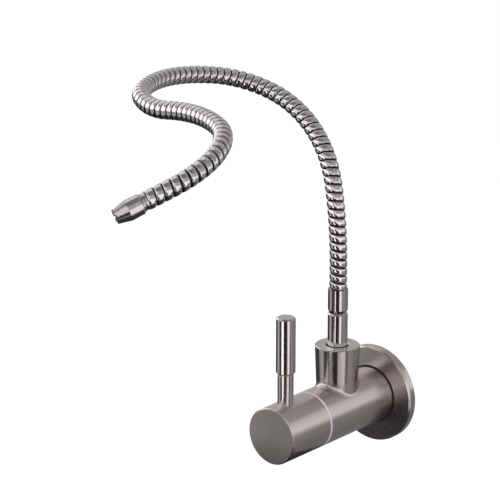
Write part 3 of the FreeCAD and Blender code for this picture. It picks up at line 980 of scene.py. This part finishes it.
@dataclass(frozen=True)
class Card:
    """Curved studio card, seen only in reflections.

    Its sides are angles from the camera's direction, positive to the picture's right, and its
    edges are angles above the horizon, all in degrees.
    """

    name: str
    start: float
    end: float
    low: float
    high: float
    level: float
    radius: float = SCREEN_RADIUS
    # Degrees that its sides move to the right for each degree down from upright
    lean: float = 0.0
    upright: float = -17.0
    tint: Colour = (1.0, 0.98, 0.98)

    def angle(self, share: float, above: float) -> float:
        """Angle from the camera's direction, at a share of the width and a height."""
        return self.start + (self.end - self.start) * share + self.lean * (self.upright - above)


@dataclass(frozen=True)
class Lamp:
    """Soft square lamp that faces the tap and that metal doesn't mirror.

    It hangs at an angle from the camera's direction, positive to the picture's right, and at
    one above the horizon, both in degrees.
    """

    name: str
    aside: float
    above: float
    watts: float
    distance: float = 1.6
    size: float = 0.9


@dataclass
class Studio:
    """Camera, lamps, floor and reflection cards."""

    azimuth: float = 41.0
    elevation: float = 16.8
    # Place of the camera: back from the origin, to the picture's right and up, in metres
    distance: float = 1.292
    shift_right: float = -0.079
    shift_up: float = 0.0883
    focal_pixels: float = 2061.0
    picture_pixels: float = 500.0
    sensor: float = 36.0
    card_centre: Point = (-0.02, -0.08, 0.08)
    # Degrees that a face of a card, or a side of the table's rim, takes up
    card_step: float = 4.0
    floor_height: float = -0.85
    floor_size: float = 14.0
    floor_noise_scale: float = 40.0
    floor_tone: tuple[float, float] = (0.88, 0.90)
    # Light that the floor adds for the rays in Seen, where one is white
    floor_glow: float = 0.62
    # Level of the surroundings for diffuse light, where one is white
    diffuse_level: float = 0.55
    table_centre: Point = (0.0, -0.03, -0.055)
    table_radius: float = 0.16
    table_sector: tuple[float, float] = (-185.0, 15.0)
    table_level: float = 0.03
    table_tint: Colour = (1.0, 0.97, 0.95)
    lamps: tuple[Lamp, ...] = (Lamp("key_lamp", -50, 40, 9.0), Lamp("fill_lamp", 70, 30, 5.0))
    cards: tuple[Card, ...] = (
        Card("ceiling_front", -80, 30, 45, 90, 0.24, ROOM_RADIUS),
        Card("ceiling_right", 30, 95, 45, 90, 0.36, ROOM_RADIUS),
        Card("ceiling_back", 95, 195, 45, 90, 0.5, ROOM_RADIUS),
        Card("ceiling_left", -165, -80, 45, 90, 1.0, ROOM_RADIUS),
        Card("room_left", -180, 0, -35, 45, 0.40, ROOM_RADIUS),
        Card("room_right", 0, 180, -4, 45, 0.42, ROOM_RADIUS),
        Card("room_right_near", 0, 88, -35, -4, 0.36, ROOM_RADIUS),
        Card("room_right_far", 88, 180, -35, -4, 0.26, ROOM_RADIUS),
        Card("ground_left", -180, 0, -90, -35, 0.03, ROOM_RADIUS),
        Card("ground_right_near", 0, 90, -90, -35, 0.05, ROOM_RADIUS),
        Card("ground_right_far", 90, 180, -90, -35, 0.24, ROOM_RADIUS),
        Card("back_screen", -200, -168, -5, 44, 0.6),
        Card("rim_softbox", -168, -90, 4, 35, 1.6),
        Card("left_screen", -90, -44, 2, 36, 1.6),
        Card("left_back_flag", -168, -112, -40, 4, 0.06),
        Card("left_sliver", -112, -99, -25, 4, 0.55),
        Card("hub_screen", -98, -79, -36, -9, 0.56),
        Card("left_flag", -79, -50, -32, 2, 0.06),
        Card("left_softbox", -50, -7, -35, 2, 1.9),
        Card("left_softbox_high", -44, -7, 2, 40, 1.0),
        Card("right_softbox", -7, 43, -24, 16, 1.35, tint=WARM_WHITE),
        Card("right_softbox_far", 43, 86, -5, 16, 1.15, tint=WARM_WHITE),
        Card("right_softbox_low", -7, 43, -35, -24, 0.8, tint=WARM_WHITE),
        Card("right_screen", -7, 60, 16, 45, 0.55, tint=WARM_WHITE),
        Card("right_line", 44, 56, -28, -20, 0.06),
        Card("side_softbox", 86, 109, -4, 29, 1.1),
        Card("camera_slit", -27, 16, -24, 2, 0.02, SLIT_RADIUS, lean=0.8),
        Card("camera_slit_high", -17, 0, 2, 10, 0.03, SLIT_RADIUS, lean=0.8),
        Card("camera_slit_low", -36, 4, -36, -24, 0.02, SLIT_RADIUS),
    )

    def directions(self) -> tuple[Vector, Vector, Vector]:
        """The camera's directions.

        Returns:
            Picture right, picture up and the way back to the camera.
        """
        around = math.radians(self.azimuth)
        above = math.radians(self.elevation)
        back = Vector((math.sin(around) * math.cos(above), -math.cos(around) * math.cos(above),
                       math.sin(above)))
        right = Vector((math.cos(around), math.sin(around), 0))
        return right, back.cross(right), back

    def camera(self) -> None:
        """Creates the camera at the photograph's viewing angle."""
        right, up, back = self.directions()
        data = bpy.data.cameras.new("camera")
        data.sensor_width = self.sensor
        data.lens = self.sensor * self.focal_pixels / self.picture_pixels
        data.clip_start = 0.01
        data.clip_end = 100.0
        camera = new_object("camera", data)
        place = right * self.shift_right + up * self.shift_up + back * self.distance
        turn = Matrix((right, up, back)).transposed().to_4x4()
        camera.matrix_world = Matrix.Translation(place) @ turn
        bpy.context.scene.camera = camera

    def level_way(self, degrees: float) -> Vector:
        """Level direction from the tap.

        Args:
            degrees: Angle from the camera's direction, positive to the picture's right.

        Returns:
            The direction.
        """
        right, _, back = self.directions()
        level_back = Vector((back.x, back.y, 0)).normalized()
        aside = math.radians(degrees)
        return level_back * math.cos(aside) + right * math.sin(aside)

    def around_camera(self, degrees: float, above: float, radius: float) -> Vector:
        """Point on a dome round the tap.

        Args:
            degrees: Angle from the camera's direction, positive to the picture's right.
            above: Angle above the horizon.
            radius: Radius of the dome in metres.

        Returns:
            The point.
        """
        rise = math.radians(above)
        way = self.level_way(degrees) * math.cos(rise) + Vector((0, 0, math.sin(rise)))
        return Vector(self.card_centre) + way * radius

    def seen_rays(self, graph: Graph) -> bpy.types.NodeSocket:
        """Tells the rays that see the white surroundings from the others.

        Args:
            graph: Graph of the material or world.

        Returns:
            A factor that is one for the rays in Seen.
        """
        path = graph.add("LightPath")
        factor, *others = [path.outputs[kind.value] for kind in Seen]
        for other in others:
            factor = graph.math("MAXIMUM", factor, other)
        return factor

    def card(self, card: Card) -> None:
        """Builds one reflection card.

        Args:
            card: Its place and brightness.
        """
        bm = bmesh.new()
        across = max(2, round((card.end - card.start) / self.card_step))
        up = max(2, round((card.high - card.low) / self.card_step))
        grid = []
        for column in range(across + 1):
            heights = [card.low + (card.high - card.low) * row / up for row in range(up + 1)]
            grid.append([
                bm.verts.new(self.around_camera(card.angle(column / across, above), above,
                                                card.radius))
                for above in heights
            ])
        for left, right in zip(grid[:-1], grid[1:]):
            for row in range(up):
                bm.faces.new((left[row], right[row], right[row + 1], left[row + 1]))
        self.reflected("card_" + card.name, bm, card.level, card.tint)

    def table(self) -> None:
        """Dark table under the tap's left side, seen only in reflections."""
        bm = bmesh.new()
        centre = Vector(self.table_centre)
        start, end = self.table_sector
        steps = round((end - start) / self.card_step)
        rim = [bm.verts.new(centre)]
        for step in range(steps + 1):
            ray = self.level_way(start + (end - start) * step / steps)
            rim.append(bm.verts.new(centre + ray * self.table_radius))
        bm.faces.new(rim)
        self.reflected("card_table", bm, self.table_level, self.table_tint)

    def reflected(self, name: str, bm: bmesh.types.BMesh, level: float, tint: Colour) -> None:
        """Makes a stage piece that only reflections see.

        Args:
            name: Its name.
            bm: Its mesh, freed here.
            level: Its brightness, where one is white.
            tint: Its colour.
        """
        piece = new_object(name, new_mesh(bm, name, outwards=False))
        material, graph = new_material(name)
        graph.surface(graph.add("Emission", {"Color": (*tint, 1.0), "Strength": level}))
        piece.data.materials.append(material)
        piece.visible_camera = False
        piece.visible_diffuse = False
        piece.visible_shadow = False
        piece.visible_transmission = False

    def floor(self) -> None:
        """Pale floor, white to the camera where nothing shades it."""
        half = self.floor_size / 2
        bm = bmesh.new()
        corners = [bm.verts.new((x * half, y * half, self.floor_height))
                   for x, y in ((-1, -1), (1, -1), (1, 1), (-1, 1))]
        bm.faces.new(corners)
        floor = new_object("floor", new_mesh(bm, "floor", outwards=False))
        material, graph = new_material("pale_floor")
        noise = graph.noise(graph.object_place(), self.floor_noise_scale)
        tone = graph.spread(noise, *self.floor_tone)
        colour = graph.add("CombineColor", {0: tone, 1: tone, 2: tone}).outputs[0]
        diffuse = graph.add("BsdfDiffuse", {"Color": colour})
        glow = graph.add("Emission", {
            "Strength": graph.math("MULTIPLY", self.seen_rays(graph), self.floor_glow),
        })
        graph.surface(graph.add("AddShader", {0: diffuse.outputs[0], 1: glow.outputs[0]}))
        floor.data.materials.append(material)

    def lamp(self, lamp: Lamp) -> None:
        """Hangs one lamp.

        Args:
            lamp: Its place, size and power.
        """
        data = bpy.data.lights.new(lamp.name, "AREA")
        data.size = lamp.size
        data.energy = lamp.watts
        light = new_object(lamp.name, data)
        light.location = self.around_camera(lamp.aside, lamp.above, lamp.distance)
        aim = Vector(self.card_centre) - light.location
        light.rotation_euler = aim.to_track_quat("-Z", "Y").to_euler()
        light.visible_glossy = False

    def world(self) -> None:
        """White surroundings for what the camera sees, a plain level for diffuse light."""
        world = bpy.data.worlds.new("white_room")
        world.use_nodes = True
        bpy.context.scene.world = world
        graph = Graph(world.node_tree)
        strength = graph.ramp(self.seen_rays(graph), 0.0, 1.0, self.diffuse_level, 1.0)
        background = graph.add("Background", {"Strength": strength})
        graph.add("OutputWorld", {"Surface": background.outputs[0]})

    def build(self) -> None:
        """Sets up the whole studio."""
        self.camera()
        self.world()
        self.floor()
        for card in self.cards:
            self.card(card)
        self.table()
        for lamp in self.lamps:
            self.lamp(lamp)
        bpy.context.scene.view_settings.view_transform = "Standard"


def main() -> None:
    """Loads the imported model, dresses it and builds the studio."""
    logging.basicConfig(level=logging.INFO, format="%(name)s: %(message)s")
    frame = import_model()
    gooseneck = Gooseneck()
    Tap(gooseneck.end()).dress(frame["nodes"])
    # The near-black groove colour is painted shade between the strip's turns
    strip = StripSteel("rolled_strip", (0.67, 0.65, 0.65), (0.60, 0.58, 0.58),
                       groove=(0.035, 0.028, 0.028), roughness=(0.06, 0.11), anisotropy=0.3)
    machined = FineMetal("machined_steel", (0.58, 0.57, 0.56), (0.50, 0.49, 0.48), (0.22, 0.34))
    for piece in (*gooseneck.build(strip), InletNipple().build(machined)):
        log.info("%s: %d faces", piece.name, len(piece.data.polygons))
    Studio().build()


if __name__ == "__main__":
    main()
